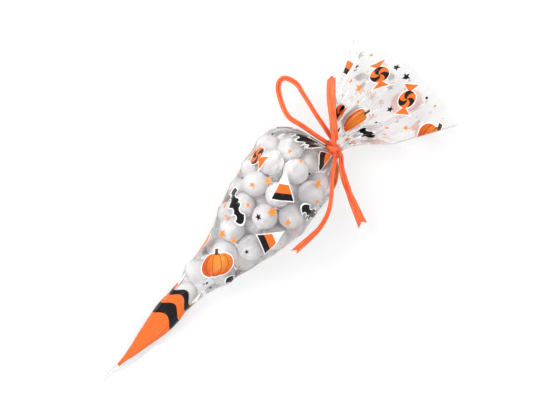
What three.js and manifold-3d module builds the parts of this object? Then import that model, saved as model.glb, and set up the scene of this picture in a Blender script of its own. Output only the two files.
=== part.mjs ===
import * as THREE from 'three';
import { mergeVertices } from 'three/addons/utils/BufferGeometryUtils.js';
import Module from 'manifold-3d';

const wasm = await Module();
wasm.setup();

// A clear printed film cone bag, filled with round sweets and tied with raffia ribbon.
// It lies on its side: X runs from the tip to the open mouth, Z is up, Z = 0 is the table.
// Stations along the bag are measured from the film tip ("fromTip") before the last shift.

// The film bag
const bagLength = 302;
const filmWall = 0.4;
const sealWidth = 4.5;
const sealHalfThickness = 0.35;
const sealTaper = 0.29;
const squeezedSeal = 0.22;
const tipSealLength = 18;
const sectionRoundness = 2.2;
const pleatCount = 12;
const pointsPerPleat = 4;
const pleatUnevenness = 0.25;

// The filled body, lying on its soft flat underside
const bellyFromTip = 191;
const bellyWidth = 65.5;
const bellyHeight = 58;
const bellyShift = 8.3;
const underSag = 1.8;
const fillFromTip = 78;
const throatWidth = 20.5;
const throatHeight = 19;

// The gathered neck under the tie
const tieFromTip = 224;
const tieWidth = 4;
const neckDiameter = 9.4;
const neckPleat = 0.8;
const neckHeight = 21;

// The flared mouth beyond the tie
const mouthWidth = 95;
const mouthThickness = 21;
const mouthPleat = 4.8;
const mouthHeight = 15.5;
const mouthEarLeft = 16;
const mouthEarRight = 7;
const mouthSpread = 0.85;

// The sweets: so many of them take up this share of the filled body
const sweetCount = 39;
const sweetPacking = 0.42;
const sweetGap = 0.35;
const swellSteps = 1500;
const slipSteps = 2400;
const settleSteps = 4000;
const slipPerStep = 0.02;

// The raffia ribbon
const ribbonDiameter = 4;
const ribbonSides = 8;
const wrapThickness = 2.4;
const knotLength = 7;
const knotWidth = 9;
const knotHeight = 6;
const seatGap = 0.3;

// Where the bag rests: the frame's origin is the middle of this flat patch
const restFromTip = 165;
const restShift = 4.6;

const filmMaterial = new THREE.MeshStandardMaterial({
  color: 0xf4efe9, roughness: 0.15, metalness: 0, transparent: true, opacity: 0.35,
});
const sweetMaterial = new THREE.MeshStandardMaterial({ color: 0xe4dfdc, roughness: 0.6, metalness: 0 });
const ribbonMaterial = new THREE.MeshStandardMaterial({ color: 0xff6a34, roughness: 0.45, metalness: 0 });

const part = new THREE.Group();
part.position.set(-restFromTip, -restShift, 0);

function addPart(name, geometry, material) {
  const mesh = new THREE.Mesh(geometry, material);
  mesh.name = name;
  part.add(mesh);
  return mesh;
}

// A smooth curve through rows of [station, value, value, ...]
function profile(rows) {
  const slope = (row, column) => {
    const before = rows[Math.max(row - 1, 0)];
    const after = rows[Math.min(row + 1, rows.length - 1)];
    return (after[column] - before[column]) / (after[0] - before[0]);
  };
  return (station) => {
    let row = 0;
    while (row < rows.length - 2 && station > rows[row + 1][0]) row += 1;
    const span = rows[row + 1][0] - rows[row][0];
    const k = THREE.MathUtils.clamp((station - rows[row][0]) / span, 0, 1);
    const rise = k * k * (3 - 2 * k);
    const leave = k * (1 - k) * (1 - k) * span;
    const arrive = -k * k * (1 - k) * span;
    return rows[row].slice(1).map((value, i) => {
      const next = rows[row + 1][i + 1];
      return value + (next - value) * rise + leave * slope(row, i + 1) + arrive * slope(row + 1, i + 1);
    });
  };
}

// Body sections: from the tip, width, height, underside, sideways shift, pleat depth, seal curl
const neckStart = tieFromTip - tieWidth / 2;
const neckEnd = tieFromTip + tieWidth / 2;
const neckUnder = neckHeight - neckDiameter / 2 + neckPleat;
const neckBase = neckDiameter - 2 * neckPleat;
const bodySection = profile([
  [0, 2.2, 0.8, 0.5, 0, 0, 0],
  [tipSealLength, 2.6, 1.8, 0.2, -0.6, 0, 0],
  [30, 6.6, 5, 0, -0.9, 0, 0.2],
  [45, 13, 9, -0.3, -0.4, 0, 0.8],
  [60, 18, 13.5, -0.7, 0.2, 0, 1.1],
  [fillFromTip, throatWidth, throatHeight, -1, 1.8, 0, 1.1],
  [96, 27, 25, -1.3, 1.8, 0, 1.1],
  [124, 40, 38, -1.5, 1.8, 0, 1.1],
  [151, bellyWidth - 8.5, bellyHeight - 9, -underSag, bellyShift - 5.1, 0, 1.1],
  [bellyFromTip - 19, bellyWidth - 2.5, bellyHeight - 2.5, -underSag, bellyShift - 2.9, 0, 1.1],
  [bellyFromTip, bellyWidth, bellyHeight, -underSag, bellyShift, 0.2, 1.1],
  [bellyFromTip + 11, bellyWidth - 2, bellyHeight - 2, -underSag / 2, bellyShift + 1.6, 0.6, 1],
  [neckStart - 12, bellyWidth * 0.84, bellyHeight * 0.82, 1.5, bellyShift + 1.3, 1, 0.8],
  [neckStart - 6, bellyWidth * 0.6, bellyHeight * 0.58, 6, bellyShift - 0.7, 1.1, 0.5],
  [neckStart - 1.4, neckBase + 9, neckBase + 8, neckUnder - 4, 2.2, 0.9, 0.3],
  [neckStart, neckBase, neckBase, neckUnder, 0, neckPleat, 0.2],
]);

// Mouth sections along the flare, 0 at the neck and 1 at the rim:
// width, thickness, middle height, sideways shift, pleat depth
const mouthSection = profile([
  [0, neckBase, neckBase, neckHeight, 0, neckPleat],
  [0.1, neckBase + 9, neckBase + 2.5, neckHeight, 3.2, 1.5],
  [0.27, mouthWidth * 0.37, mouthThickness * 0.75, neckHeight - 0.6, 3.8, 3],
  [0.41, mouthWidth * 0.51, mouthThickness * 0.88, neckHeight - 1.8, 1.6, 3.9],
  [0.6, mouthWidth * 0.63, mouthThickness * 0.95, neckHeight - 3.4, 0.4, 4.5],
  [1, mouthWidth - 2 * sealWidth, mouthThickness, mouthHeight, -1, mouthPleat],
]);

// The angle runs round a section from the right seal (0) to the left seal (half a turn) and back
function sectionPoint(angle, width, height, middle, shift, spread) {
  const round = -Math.cos(angle);
  const even = 1 - 2 * Math.abs(THREE.MathUtils.euclideanModulo(angle / Math.PI, 2) - 1);
  const across = THREE.MathUtils.lerp(round, even, spread);
  const upOrDown = Math.sign(Math.sin(angle) + 1e-12);
  const rise = Math.sqrt(Math.max(0, 1 - Math.abs(across) ** sectionRoundness)) * upOrDown;
  return new THREE.Vector2(shift + (width / 2) * across, middle + (height / 2) * rise);
}

const pointCount = pleatCount * pointsPerPleat;
const rightSeal = 0;
const leftSeal = pointCount / 2;

function pleatedRing(width, height, middle, shift, pleat, spread, place) {
  const ring = [];
  for (let i = 0; i < pointCount; i += 1) {
    const angle = (i / pointCount) * Math.PI * 2;
    const here = sectionPoint(angle, width, height, middle, shift, spread);
    const ahead = sectionPoint(angle + 0.04, width, height, middle, shift, spread);
    const behind = sectionPoint(angle - 0.04, width, height, middle, shift, spread);
    const along = ahead.sub(behind).normalize();
    const unevenness = 1 + pleatUnevenness * Math.sin(angle * 3 + 1);
    const depth = pleat * unevenness * Math.sin(angle * pleatCount);
    ring.push(place(here.x - along.y * depth, here.y + along.x * depth, here.x, width, shift));
  }
  return ring;
}

function bodyRing(fromTip) {
  const [width, height, under, shift, pleat] = bodySection(fromTip);
  return pleatedRing(width, height, under + height / 2, shift, pleat, 0,
    (y, z) => new THREE.Vector3(fromTip, y, Math.max(z, 0)));
}

function mouthRing(share) {
  const [width, thickness, middle, shift, pleat] = mouthSection(share);
  const spread = THREE.MathUtils.smoothstep(share, 0, 0.4) * mouthSpread;
  return pleatedRing(width, thickness, middle, shift, pleat, spread, (y, z, baseY) => {
    const across = (baseY - shift) / (width / 2);
    const ear = across > 0 ? mouthEarLeft : mouthEarRight;
    const reach = (bagLength - neckEnd) - ear * across * across;
    return new THREE.Vector3(neckEnd + share * reach, y, z);
  });
}

const bodyStations = [1.5, 9, tipSealLength, 30, 45, 60, fillFromTip, 90, 102, 114, 126, 138, 150,
  161, 172, 182, bellyFromTip, 199, 206, 212, 217, neckStart - 1.4, neckStart];
const mouthShares = [0, 0.05, 0.12, 0.22, 0.35, 0.5, 0.66, 0.83, 1];

const stations = [
  ...bodyStations.map((fromTip) => ({
    ring: bodyRing(fromTip), curl: bodySection(fromTip)[5], seal: bodySeal(fromTip), fromTip,
  })),
  ...mouthShares.map((share) => ({
    ring: mouthRing(share), curl: 0.2 * (1 - share), seal: mouthSeal(share), fromTip: neckEnd + share,
  })),
];

// The flat side seals are cut to the cone's point, and are squeezed narrow in the neck
function bodySeal(fromTip) {
  const cut = sealTaper * fromTip;
  const squeeze = THREE.MathUtils.smoothstep(neckStart - fromTip, 0, 14);
  return Math.min(cut, sealWidth) * THREE.MathUtils.lerp(squeezedSeal, 1, squeeze);
}

function mouthSeal(share) {
  const opened = THREE.MathUtils.smoothstep(share, 0, 0.5);
  return sealWidth * THREE.MathUtils.lerp(squeezedSeal, 1, opened);
}

// Outward normal of the film at each point of each station
function filmNormals() {
  return stations.map(({ ring }, row) => ring.map((point, i) => {
    const before = stations[Math.max(row - 1, 0)].ring[i];
    const after = stations[Math.min(row + 1, stations.length - 1)].ring[i];
    const left = ring[(i + 1) % pointCount];
    const right = ring[(i + pointCount - 1) % pointCount];
    const along = after.clone().sub(before);
    const round = left.clone().sub(right);
    return along.cross(round).normalize();
  }));
}

const normals = filmNormals();
const innerRings = stations.map(({ ring }, row) => ring.map(
  (point, i) => point.clone().addScaledVector(normals[row][i], -filmWall)));

// One loop of the film: the two seal roots become four points each, out along the seal and back
function loopWithSeals(ring, seals) {
  const loop = [];
  ring.forEach((point, i) => {
    if (i === rightSeal) loop.push(...seals.right);
    else if (i === leftSeal) loop.push(...seals.left);
    else loop.push(point);
  });
  return loop;
}

function sealPoints(ring, index, half, length, curl) {
  const root = ring[index];
  const side = index === rightSeal ? -1 : 1;
  const outward = new THREE.Vector3(0, side * Math.cos(curl), -Math.sin(curl));
  const across = new THREE.Vector3(0, 0, side * half);
  const tip = root.clone().addScaledVector(outward, length);
  return [[root, -1], [tip, -1], [tip, 1], [root, 1]]
    .map(([place, share]) => place.clone().addScaledVector(across, share))
    .map((point) => point.setZ(Math.max(point.z, 0)));
}

function filmLoops() {
  const outer = stations.map(({ ring, curl, seal }) => {
    const spacing = ring[1].distanceTo(ring[0]);
    const half = Math.min(sealHalfThickness, spacing * 0.4);
    return loopWithSeals(ring, {
      right: sealPoints(ring, rightSeal, half, seal, curl),
      left: sealPoints(ring, leftSeal, half, seal, curl),
    });
  });
  const inner = innerRings.map((ring) => {
    const spacing = ring[1].distanceTo(ring[0]);
    const spread = Math.min(sealHalfThickness, spacing * 0.4) * 0.8;
    return loopWithSeals(ring, {
      right: innerSealPoints(ring, rightSeal, spread),
      left: innerSealPoints(ring, leftSeal, spread),
    });
  });
  return { outer, inner };
}

function innerSealPoints(ring, index, spread) {
  const side = index === rightSeal ? -1 : 1;
  const across = new THREE.Vector3(0, 0, side * spread);
  return [-1, -0.4, 0.4, 1].map((share) => ring[index].clone().addScaledVector(across, share));
}

// The film as one closed body: outer skin, inner skin, both tips, and the cut rim between the skins
function filmGeometry() {
  const { outer, inner } = filmLoops();
  const innerStart = bodyStations.indexOf(tipSealLength);
  const hollow = inner.slice(innerStart);
  const loopSize = outer[0].length;
  const points = [...outer.flat(), ...hollow.flat()];
  const faces = [];
  const quad = (a, b, c, d) => faces.push(a, b, c, a, c, d);
  const hollowBase = outer.length * loopSize;
  for (let row = 0; row < outer.length - 1; row += 1) {
    for (let i = 0; i < loopSize; i += 1) {
      const next = (i + 1) % loopSize;
      quad(row * loopSize + i, row * loopSize + next, (row + 1) * loopSize + next, (row + 1) * loopSize + i);
    }
  }
  for (let row = 0; row < hollow.length - 1; row += 1) {
    for (let i = 0; i < loopSize; i += 1) {
      const next = (i + 1) % loopSize;
      const low = hollowBase + row * loopSize;
      const high = low + loopSize;
      quad(low + next, low + i, high + i, high + next);
    }
  }
  const rimOuter = (outer.length - 1) * loopSize;
  const rimInner = hollowBase + (hollow.length - 1) * loopSize;
  for (let i = 0; i < loopSize; i += 1) {
    const next = (i + 1) % loopSize;
    quad(rimOuter + i, rimOuter + next, rimInner + next, rimInner + i);
  }
  const outerTip = points.push(middleOf(outer[0]).setX(0)) - 1;
  const innerTip = points.push(middleOf(hollow[0]).add(new THREE.Vector3(-filmWall, 0, 0))) - 1;
  for (let i = 0; i < loopSize; i += 1) {
    const next = (i + 1) % loopSize;
    faces.push(outerTip, next, i);
    faces.push(innerTip, hollowBase + i, hollowBase + next);
  }
  return closedGeometry(points, faces);
}

function middleOf(loop) {
  const sum = loop.reduce((total, point) => total.add(point), new THREE.Vector3());
  return sum.divideScalar(loop.length);
}

// Faces are turned round together where they enclose a negative volume
function closedGeometry(points, faces) {
  let volume = 0;
  for (let f = 0; f < faces.length; f += 3) {
    const [a, b, c] = [points[faces[f]], points[faces[f + 1]], points[faces[f + 2]]];
    volume += a.dot(b.clone().cross(c)) / 6;
  }
  const outward = volume > 0 ? faces : faces.slice().reverse();
  const geometry = new THREE.BufferGeometry().setFromPoints(points);
  geometry.setIndex(outward);
  geometry.computeVertexNormals();
  return geometry;
}

addPart('film_bag', filmGeometry(), filmMaterial);

// The inside of the filled body as flat walls: a point on each and the direction inward
function insideWalls() {
  const walls = [];
  const firstRow = bodyStations.indexOf(60);
  const lastRow = bodyStations.indexOf(neckStart);
  for (let row = firstRow; row < lastRow; row += 1) {
    for (let i = 0; i < pointCount; i += 1) {
      const next = (i + 1) % pointCount;
      const [a, b] = [innerRings[row][i], innerRings[row][next]];
      const [c, d] = [innerRings[row + 1][next], innerRings[row + 1][i]];
      walls.push(wallThrough(a, b, c), wallThrough(a, c, d));
    }
  }
  return walls;
}

function wallThrough(a, b, c) {
  const centre = a.clone().add(b).add(c).divideScalar(3);
  const inward = b.clone().sub(a).cross(c.clone().sub(a)).normalize();
  const axis = new THREE.Vector3(centre.x, ...bodyMiddle(centre.x));
  if (inward.dot(axis.sub(centre)) < 0) inward.negate();
  return { centre, inward };
}

function bodyMiddle(fromTip) {
  const [, height, under, shift] = bodySection(fromTip);
  return [shift, under + height / 2];
}

// Repeatable scatter between 0 and 1
function scatter(seed) {
  const wave = Math.sin(seed * 12.9898 + 4.1414) * 43758.5453;
  return wave - Math.floor(wave);
}

function bodyVolume() {
  let volume = 0;
  for (let fromTip = fillFromTip; fromTip < neckStart; fromTip += 1) {
    const [width, height] = bodySection(fromTip);
    volume += (Math.PI / 4) * width * height;
  }
  return volume;
}

const sweetVolume = (bodyVolume() * sweetPacking) / sweetCount;
const sweetDiameter = Math.cbrt((6 * sweetVolume) / Math.PI);

// The sweets are scattered small through the body, swell to size and push each other and the film
// apart while they slip toward the tip and the table, as they do when the bag is filled and laid down
function settledSweets() {
  const walls = insideWalls();
  const spacing = sweetDiameter + sweetGap;
  const sweets = [];
  for (let i = 0; i < sweetCount; i += 1) {
    const share = Math.cbrt((i + 0.5) / sweetCount);
    const fromTip = fillFromTip + 12 + (neckStart - 24 - fillFromTip) * share;
    const [width, height] = bodySection(fromTip);
    const [shift, middle] = bodyMiddle(fromTip);
    const turn = scatter(i) * Math.PI * 2;
    const out = Math.sqrt(scatter(i + 500)) * 0.3;
    const aside = width * out * Math.cos(turn);
    const up = height * out * Math.sin(turn);
    sweets.push(new THREE.Vector3(fromTip, shift + aside, middle + up));
  }
  for (let step = 0; step < settleSteps; step += 1) {
    const size = spacing * Math.min(1, 0.5 + (0.5 * step) / swellSteps);
    const slip = step < slipSteps ? slipPerStep : 0;
    sweets.forEach((sweet) => sweet.add(new THREE.Vector3(-slip, 0, -slip)));
    pushApart(sweets, size);
    sweets.forEach((sweet) => pushInside(sweet, walls, size / 2));
  }
  return sweets
    .filter((sweet, i) => fits(sweet, i, sweets, walls, spacing))
    .sort((a, b) => a.x - b.x);
}

function pushApart(sweets, size) {
  for (let i = 0; i < sweets.length; i += 1) {
    for (let j = i + 1; j < sweets.length; j += 1) {
      const apart = sweets[j].clone().sub(sweets[i]);
      const overlap = size - apart.length();
      if (overlap > 0) {
        apart.setLength(overlap * 0.5);
        sweets[j].add(apart);
        sweets[i].sub(apart);
      }
    }
  }
}

function pushInside(sweet, walls, reach) {
  for (const { centre, inward } of walls) {
    const offset = sweet.clone().sub(centre);
    if (offset.lengthSq() > (2.2 * reach) ** 2) continue;
    const short = reach - offset.dot(inward);
    if (short > 0) sweet.addScaledVector(inward, short * 0.9);
  }
}

function fits(sweet, index, sweets, walls, spacing) {
  const slack = sweetGap * 0.6;
  const clearOfSweets = sweets.every(
    (other, i) => i === index || other.distanceTo(sweet) > spacing - slack || i > index);
  const clearOfFilm = walls.every(({ centre, inward }) => {
    const offset = sweet.clone().sub(centre);
    return offset.lengthSq() > (2.2 * spacing / 2) ** 2 || offset.dot(inward) > (spacing - slack) / 2;
  });
  return clearOfSweets && clearOfFilm;
}

const sweetPlaces = settledSweets();
sweetPlaces.forEach((place, i) => {
  const sweet = addPart(`sweet_${String(i + 1).padStart(2, '0')}`,
    new THREE.IcosahedronGeometry(sweetDiameter / 2, 1), sweetMaterial);
  sweet.position.copy(place);
  sweet.rotation.set(scatter(i + 40) * 6, scatter(i + 90) * 6, scatter(i + 180) * 6);
});

// The ribbon: a wrap round the gathered neck with the knot on top, two loops and two cut tails
const neckOuter = neckBase / 2 + neckPleat * (1 + pleatUnevenness);
const knotHeightAtMiddle = neckHeight + neckOuter + seatGap + knotHeight / 2;
const knotPlace = new THREE.Vector3(tieFromTip, 0, knotHeightAtMiddle);

function solidOf(geometry) {
  const bare = geometry.clone();
  bare.deleteAttribute('normal');
  bare.deleteAttribute('uv');
  const merged = mergeVertices(bare, 1e-4);
  const triVerts = new Uint32Array(merged.index.array);
  const vertProperties = merged.attributes.position.array;
  return new wasm.Manifold(new wasm.Mesh({ numProp: 3, vertProperties, triVerts }));
}

function geometryOf(solid) {
  const { vertProperties, triVerts } = solid.getMesh();
  const geometry = new THREE.BufferGeometry();
  geometry.setAttribute('position', new THREE.BufferAttribute(vertProperties, 3));
  geometry.setIndex(new THREE.BufferAttribute(triVerts, 1));
  geometry.computeVertexNormals();
  return geometry;
}

function wrapGeometry() {
  const outline = [];
  for (let i = 0; i <= ribbonSides; i += 1) {
    const angle = ((i % ribbonSides) / ribbonSides) * Math.PI * 2;
    const outward = (wrapThickness / 2) * (1 - Math.cos(angle));
    outline.push(new THREE.Vector2(neckOuter + seatGap + outward, (-tieWidth / 2) * Math.sin(angle)));
  }
  return new THREE.LatheGeometry(outline, 24)
    .rotateZ(-Math.PI / 2)
    .translate(tieFromTip, 0, neckHeight);
}

function knotGeometry() {
  return new THREE.SphereGeometry(0.5, 14, 9)
    .scale(knotLength, knotWidth, knotHeight)
    .translate(knotPlace.x, knotPlace.y, knotPlace.z);
}

const tie = solidOf(wrapGeometry()).add(solidOf(knotGeometry()));
addPart('ribbon_knot', geometryOf(tie), ribbonMaterial);

// The free runs lie along routes from the knot's middle: along the bag, sideways, up
const ribbonRuns = {
  ribbon_loop_left: [[-0.4, 5.4, 1.6], [-2.2, 13, 6], [-4.6, 26, 6.5], [-6.6, 36, 5],
    [-3.6, 46, 3], [3, 56, 1.5], [9.5, 57, 1], [12.6, 49, 2], [10.6, 39, 4], [7.6, 26, 4.5],
    [5.4, 14, 2.6], [3.6, 4.9, -1.4]],
  ribbon_loop_mouth: [[1.2, 1.6, 4.6], [9.5, 11, 10], [17, 20, 12], [24, 28, 12], [29.8, 33.2, 10.4],
    [30.4, 33.4, 7.4], [26, 29, 6.4], [18, 20.6, 6.6], [11, 11.4, 6], [4.9, 3.4, 2.6]],
  ribbon_tail_long: [[-2.4, -3.8, 3.4], [-7, -6.6, 12.4], [-14, -11.4, 17],
    [-23.5, -20.2, 15.6], [-33, -27, 9.4], [-43.5, -30.4, 4], [-52, -30.6, 2.6], [-59, -30.2, 2],
    [-66.5, -29.8, 1.6]],
  ribbon_tail_short: [[0.2, -6.3, 0], [-6.6, -14, 1], [-13, -26.5, -2], [-17, -36.5, -7], [-21.7, -49, -13]],
};

function runGeometry(route) {
  const path = new THREE.CatmullRomCurve3(
    route.map((point) => new THREE.Vector3(...point).add(knotPlace)));
  const corners = [];
  for (let i = 0; i < ribbonSides; i += 1) {
    const angle = (i / ribbonSides) * Math.PI * 2;
    corners.push(new THREE.Vector2(Math.cos(angle), Math.sin(angle)).multiplyScalar(ribbonDiameter / 2));
  }
  const section = new THREE.Shape(corners);
  const steps = Math.ceil(path.getLength() / (1.4 * ribbonDiameter));
  return new THREE.ExtrudeGeometry(section, { steps, bevelEnabled: false, extrudePath: path });
}

for (const [name, route] of Object.entries(ribbonRuns)) {
  addPart(name, runGeometry(route), ribbonMaterial);
}

export default part;
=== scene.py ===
# %% [markdown]
# # A printed film cone bag of sweets, tied with raffia
#
# The real object is a cone bag of clear film, printed in orange, black and white, filled with round
# pale sweets and tied with an orange raffia bow. It lies on its side on a white table. The packed
# solids give every size and place. Blender adds the finish: the film drawn in over the sweets, its
# creases and print, the sugar shells, and the folded ribbon.

# %% Load the fixed frame
import math

import bmesh
import bpy
import numpy as np
from mathutils import Matrix, Vector


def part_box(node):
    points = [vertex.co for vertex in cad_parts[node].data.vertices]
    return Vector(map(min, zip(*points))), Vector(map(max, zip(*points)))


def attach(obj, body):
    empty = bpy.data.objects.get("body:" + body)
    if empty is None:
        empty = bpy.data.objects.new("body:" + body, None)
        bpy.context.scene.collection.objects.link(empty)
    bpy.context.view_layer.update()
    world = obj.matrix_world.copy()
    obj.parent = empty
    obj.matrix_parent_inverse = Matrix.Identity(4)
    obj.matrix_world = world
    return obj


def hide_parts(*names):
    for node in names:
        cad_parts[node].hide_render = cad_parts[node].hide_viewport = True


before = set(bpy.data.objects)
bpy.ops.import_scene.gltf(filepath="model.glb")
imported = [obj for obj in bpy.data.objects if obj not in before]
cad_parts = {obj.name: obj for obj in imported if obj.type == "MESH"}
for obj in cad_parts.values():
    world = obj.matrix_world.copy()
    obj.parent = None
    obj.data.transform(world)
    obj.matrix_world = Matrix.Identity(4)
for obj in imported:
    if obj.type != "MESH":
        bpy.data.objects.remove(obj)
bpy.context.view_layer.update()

MM = 0.001
scene = bpy.context.scene
scene.view_settings.view_transform = "Standard"
scene.cycles.transparent_max_bounces = 64
print("nodes:", len(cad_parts))

# %% [markdown]
# ## The camera
#
# The photograph looks straight down on the bag, with the closed tip at the lower left. A long lens
# keeps the bag free of perspective. The camera could be placed by trial, but its distance follows from
# the lens and the 368 mm of table that the picture shows, and its roll from the slope of the bag in
# the picture, so both are worked out.

# %% Camera
PICTURE_WIDTH = 368.5 * MM
BAG_SLOPE = math.radians(44.88)
LENS = 100.0
SENSOR = 36.0
LOOK_AT = Vector((5.5, -2.3, 25.0)) * MM

right = Vector((math.cos(BAG_SLOPE), -math.sin(BAG_SLOPE), 0))
upward = Vector((math.sin(BAG_SLOPE), math.cos(BAG_SLOPE), 0))
camera_data = bpy.data.cameras.new("camera")
camera_data.lens = LENS
camera_data.sensor_width = SENSOR
camera = bpy.data.objects.new("camera", camera_data)
scene.collection.objects.link(camera)
facing = Matrix((right, upward, Vector((0, 0, 1)))).transposed().to_4x4()
distance = PICTURE_WIDTH * LENS / SENSOR
camera.matrix_world = Matrix.Translation(LOOK_AT + Vector((0, 0, distance))) @ facing
scene.camera = camera
print("camera height", round(distance, 3))

# %% [markdown]
# ## A way to write shader maths
#
# The print and the grain of this bag are patterns, which are sums, products and comparisons of
# coordinates. They could be wired up node by node, but then nobody can read them. So a class wraps one
# socket, and plain maths on it adds the Math nodes.


# %% Socket maths
class Val:
    """One socket of the tree that is being built, with the operators of plain maths."""

    tree = None

    def __init__(self, socket):
        self.socket = socket

    @classmethod
    def node(cls, kind, settings=None, out=0, **inputs):
        """Adds a node. Its inputs go by name, or by number as i0, i1 and so on."""
        made = cls.tree.nodes.new(kind)
        for key, value in (settings or {}).items():
            setattr(made, key, value)
        for key, value in inputs.items():
            numbered = key[0] == "i" and key[1:].isdigit()
            socket = made.inputs[int(key[1:]) if numbered else key]
            if isinstance(value, Val):
                cls.tree.links.new(value.socket, socket)
            else:
                socket.default_value = value
        return cls(made.outputs[out]) if len(made.outputs) else None

    @classmethod
    def maths(cls, operation, *values):
        numbered = {f"i{place}": value for place, value in enumerate(values)}
        return cls.node("ShaderNodeMath", {"operation": operation}, **numbered)

    def output(self, which):
        """Another output of the same node."""
        return Val(self.socket.node.outputs[which])

    def __add__(self, other):
        return Val.maths("ADD", self, other)

    def __radd__(self, other):
        return Val.maths("ADD", other, self)

    def __sub__(self, other):
        return Val.maths("SUBTRACT", self, other)

    def __rsub__(self, other):
        return Val.maths("SUBTRACT", other, self)

    def __mul__(self, other):
        return Val.maths("MULTIPLY", self, other)

    def __rmul__(self, other):
        return Val.maths("MULTIPLY", other, self)

    def __truediv__(self, other):
        return Val.maths("DIVIDE", self, other)

    def __rtruediv__(self, other):
        return Val.maths("DIVIDE", other, self)

    def __pow__(self, other):
        return Val.maths("POWER", self, other)

    def __rpow__(self, other):
        return Val.maths("POWER", other, self)

    def __neg__(self):
        return Val.maths("MULTIPLY", self, -1.0)

    def __abs__(self):
        return Val.maths("ABSOLUTE", self)

    def __lt__(self, other):
        return Val.maths("LESS_THAN", self, other)

    def __gt__(self, other):
        return Val.maths("GREATER_THAN", self, other)

    def least(self, other):
        return Val.maths("MINIMUM", self, other)

    def most(self, other):
        return Val.maths("MAXIMUM", self, other)

    def floor(self):
        return Val.maths("FLOOR", self)

    def clamped(self):
        return Val.node("ShaderNodeClamp", i0=self)


print("socket maths ready")

# %% [markdown]
# ## Colours and materials
#
# Inks and finishes are given as the eye's 0 to 255 values and turned into the linear numbers that a
# shader wants. A Math node would turn a colour grey, so colours are mixed by a Mix node.


# %% Colours and materials
def srgb(red, green, blue):
    """The linear colour of three values from 0 to 255."""
    def linear(value):
        share = value / 255.0
        return share / 12.92 if share <= 0.04045 else ((share + 0.055) / 1.055) ** 2.4

    return (linear(red), linear(green), linear(blue))


def neutral(level):
    return (level, level, level, 1.0)


def full_colour(value):
    """A colour with its fourth number, or a socket as it is."""
    return value if isinstance(value, Val) else (*value[:3], 1.0)


def mix_colour(share, low, high):
    colours = {"i6": full_colour(low), "i7": full_colour(high)}
    return Val.node("ShaderNodeMix", {"data_type": "RGBA"}, out=2, i0=share, **colours)


def principled(colour, roughness, relief):
    inputs = {"Base Color": colour, "Roughness": roughness, "Normal": relief}
    return Val.node("ShaderNodeBsdfPrincipled", **inputs)


def new_material(name):
    material = bpy.data.materials.new(name)
    material.use_nodes = True
    material.node_tree.nodes.clear()
    Val.tree = material.node_tree
    return material


def finish_material(material, shader):
    Val.node("ShaderNodeOutputMaterial", Surface=shader)
    return material


print("mid grey as a linear colour:", round(srgb(128, 128, 128)[0], 3))

# %% [markdown]
# ## Shared mesh helper
#
# Every finished piece is an object at the origin with its place in its mesh. It rides on the one body
# of the bag, takes the materials it is given, and hides the plain solid that it stands for.


# %% Piece helper
def add_piece(name, mesh_maker, materials, replaced):
    mesh = bpy.data.meshes.new(name)
    shape = bmesh.new()
    mesh_maker(shape)
    shape.to_mesh(mesh)
    shape.free()
    for polygon in mesh.polygons:
        polygon.use_smooth = True
    for material in materials:
        mesh.materials.append(material)
    piece = bpy.data.objects.new(name, mesh)
    scene.collection.objects.link(piece)
    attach(piece, "root")
    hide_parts(replaced)
    return piece


print("piece helper ready")

# %% [markdown]
# ## The raffia ribbon's finish
#
# Raffia ribbon is a thin matt-satin strip with fine lengthwise ribs. The ribs could be modelled, but at
# a fraction of a millimetre they are a matter of shade. So noise is stretched along the strip's own
# coordinates, once finely for the ribs and once broadly for the folds, and feeds colour and bump. The
# colour is partly the raffia's own streaky tone and partly painted light: painted highlights along the
# ribs and painted shade in the folds.


# %% Ribbon material
def streaks(across, along, detail):
    """Noise that is stretched along the strip."""
    place = Val.node("ShaderNodeCombineXYZ", i0=across, i1=along, i2=0.0)
    return Val.node("ShaderNodeTexNoise", {"noise_dimensions": "2D"}, Vector=place, Scale=1.0, Detail=detail)


def ribbon_material():
    material = new_material("raffia_orange")
    across = Val.node("ShaderNodeSeparateXYZ", i0=Val.node("ShaderNodeUVMap", {"uv_map": "strip"}))
    along = across.output(1)
    ribs = streaks(across * 90.0, along * 2.5, 3.0)
    fold_relief_and_shade = streaks(across * 14.0, along * 1.2, 2.0)
    # The colour is partly painted light: the lighter streaks are painted highlights as well as the fibre's
    # own tone, and the darker bands are painted shade of the folds
    shade = ((ribs - 0.5) * 1.6 + (fold_relief_and_shade - 0.5) * 1.6 + 0.5).clamped()
    colour = mix_colour(shade, srgb(234, 58, 10), srgb(254, 132, 68))
    relief = Val.node("ShaderNodeBump", Strength=0.5, Distance=0.0006, Height=ribs * 0.5 + fold_relief_and_shade)
    return finish_material(material, principled(colour, 0.38, relief))


RAFFIA = ribbon_material()
print("made", RAFFIA.name)

# %% [markdown]
# ## The bow's loops and tails
#
# Tied in a bow, the ribbon bunches to a narrow cord at the knot and opens out toward the loops and the
# cut ends. A swept curve with a flat section would be quick, but it can't fold. So each free run is a
# grid laid along its route, with lengthwise folds that open away from the knot, and a Solidify gives
# it its thickness. The routes repeat the solids' own points.

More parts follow.
